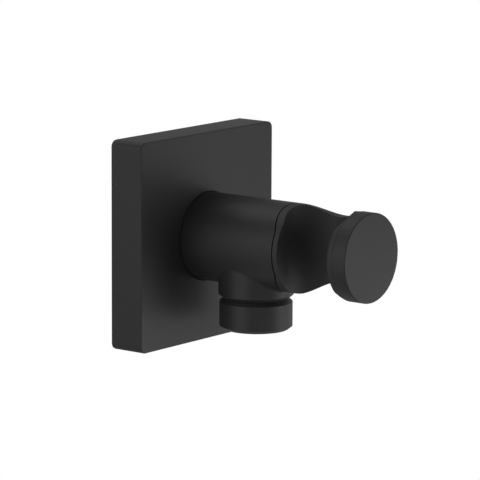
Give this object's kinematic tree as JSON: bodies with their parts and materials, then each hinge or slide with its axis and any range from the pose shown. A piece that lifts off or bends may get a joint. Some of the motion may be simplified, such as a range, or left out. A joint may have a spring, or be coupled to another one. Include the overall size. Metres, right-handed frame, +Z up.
{
  "type": "wall outlet elbow",
  "caption": "Round shower arm on a square wall plate, with a threaded hose outlet underneath and a side-opening hand shower holder at its end.",
  "frame": {"origin": "where the water inlet's axis, which is also the arm's axis, meets the wall plane at the plate's back", "axes": "+Z up; +Y into the wall along the inlet; the arm runs out along -Y; the holder opens to -X; the hose outlet points down -Z"},
  "size_m": [0.06, 0.0825, 0.06],
  "materials": {
    "black_coat": "matte black powder coat",
    "black_plastic": "matte",
    "brass": "machined",
    "rubber": "matte",
    "white_plastic": "moulded",
    "dark_steel": "blackened",
    "spring_steel": "drawn wire"
  },
  "bodies": {
    "fitting": {"wall_plate": "black_coat", "plate_seal": "rubber", "plate_o_ring": "rubber", "elbow_body": "black_coat", "holder_liner": "black_plastic", "wall_nipple": "brass", "nipple_o_ring_back": "rubber", "nipple_o_ring_front": "rubber", "grub_screw": "dark_steel", "valve_housing": "white_plastic", "valve_o_ring": "rubber", "valve_guide": "white_plastic", "valve_spring": "spring_steel"},
    "poppet": {"valve_poppet": "white_plastic", "valve_washer": "rubber"}
  },
  "joints": [
    {"name": "valve_slide", "type": "slide", "parent": "fitting", "child": "poppet", "axis": [0, 0, -1], "range_m": [0, 0.0025], "stiffness_N_per_m": 60, "springref_m": -0.0025, "deforming": ["valve_spring"]}
  ]
}
